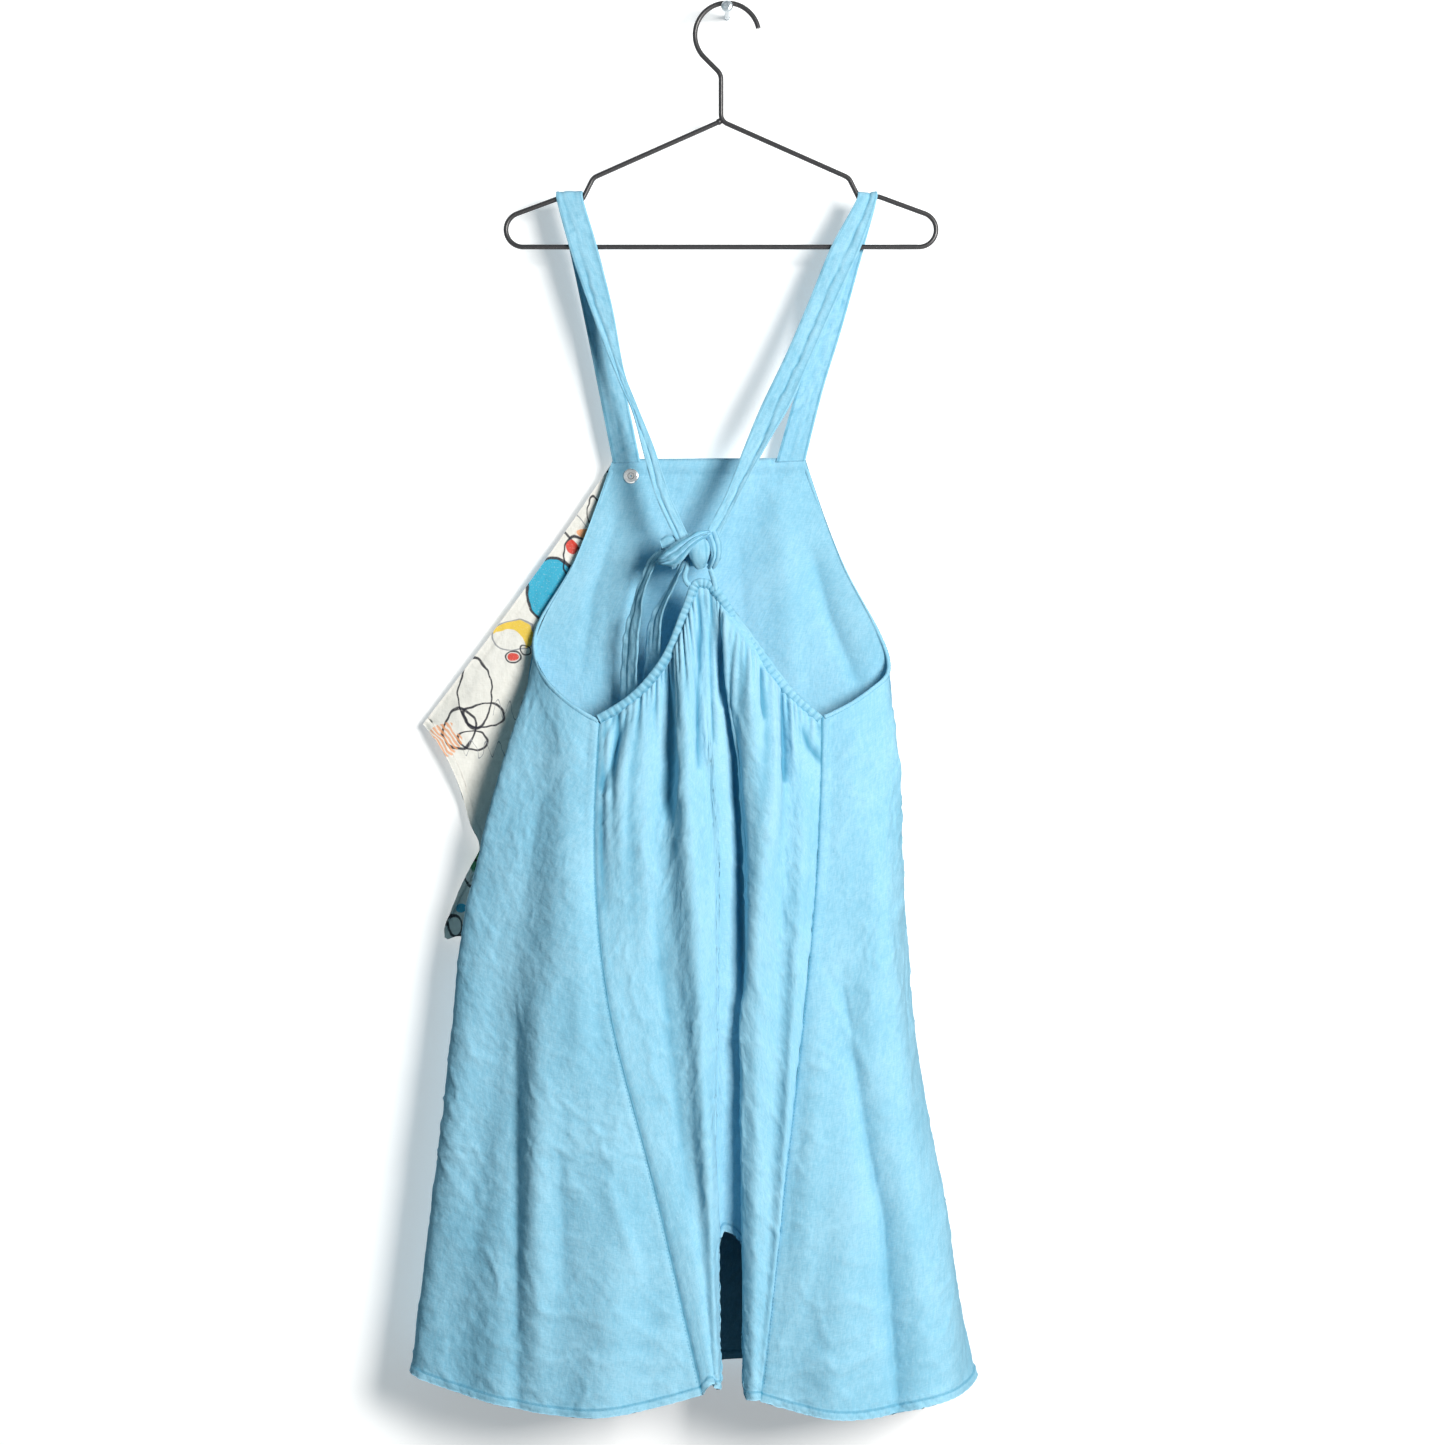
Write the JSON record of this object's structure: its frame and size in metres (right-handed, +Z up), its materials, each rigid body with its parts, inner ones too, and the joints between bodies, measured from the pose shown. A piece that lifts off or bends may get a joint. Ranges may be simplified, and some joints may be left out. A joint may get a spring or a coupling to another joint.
{
  "type": "pinafore apron on hanger",
  "caption": "Linen pinafore apron with tied back straps and a printed overlay on one press stud, hung by a bent-wire hanger on a wall screw.",
  "frame": {"origin": "on the wall screw's axis, at the wall plane where the screw enters the wall", "axes": "+Z up, +Y into the wall along the screw, +X to the right as seen from the room; the garment's back faces the room (-Y)"},
  "size_m": [0.4504, 0.1548, 1.1183],
  "materials": {
    "zinc_steel": "zinc plated",
    "black_wire": "satin powder coat",
    "blue_cloth": "washed linen weave",
    "stud_metal": "nickel plated",
    "printed_cotton": "printed cotton, abstract doodles"
  },
  "bodies": {
    "wall_screw": {"wall_screw": "zinc_steel"},
    "hanger": {"hanger_hook": "black_wire", "hanger_shoulder_left": "black_wire", "hanger_shoulder_right": "black_wire", "hanger_bar": "black_wire", "neck_weld": "black_wire"},
    "garment": {"front_panel": "blue_cloth", "side_panel_left": "blue_cloth", "side_panel_right": "blue_cloth", "back_panel": "blue_cloth", "neckline_casing": "blue_cloth", "armhole_binding_left": "blue_cloth", "armhole_binding_right": "blue_cloth", "strap_left": "blue_cloth", "strap_right": "blue_cloth", "strap_tail_left": "blue_cloth", "strap_tail_right": "blue_cloth", "tie_knot": "blue_cloth", "back_loop": "blue_cloth", "stud_ring": "stud_metal", "stud_ball": "stud_metal"},
    "stud_half": {"stud_socket": "stud_metal", "stud_cap": "stud_metal"},
    "overlay": {"print_panel": "printed_cotton"}
  },
  "joints": [
    {"name": "hanger_swing", "type": "hinge", "parent": "wall_screw", "child": "hanger", "pos_m": [0, 0, 0], "axis": [0, 1, 0], "range_deg": [-20, 20]},
    {"name": "garment_lift", "type": "slide", "parent": "hanger", "child": "garment", "axis": [0, 0, 1], "range_m": [0, 0.1]},
    {"name": "stud_release", "type": "slide", "parent": "garment", "child": "stud_half", "axis": [0, 1, 0], "range_m": [0, 0.006]},
    {"name": "overlay_swivel", "type": "hinge", "parent": "stud_half", "child": "overlay", "pos_m": [-0.0773, -0.012, -0.3732], "axis": [0, 1, 0], "range_deg": [-20, 20]}
  ]
}
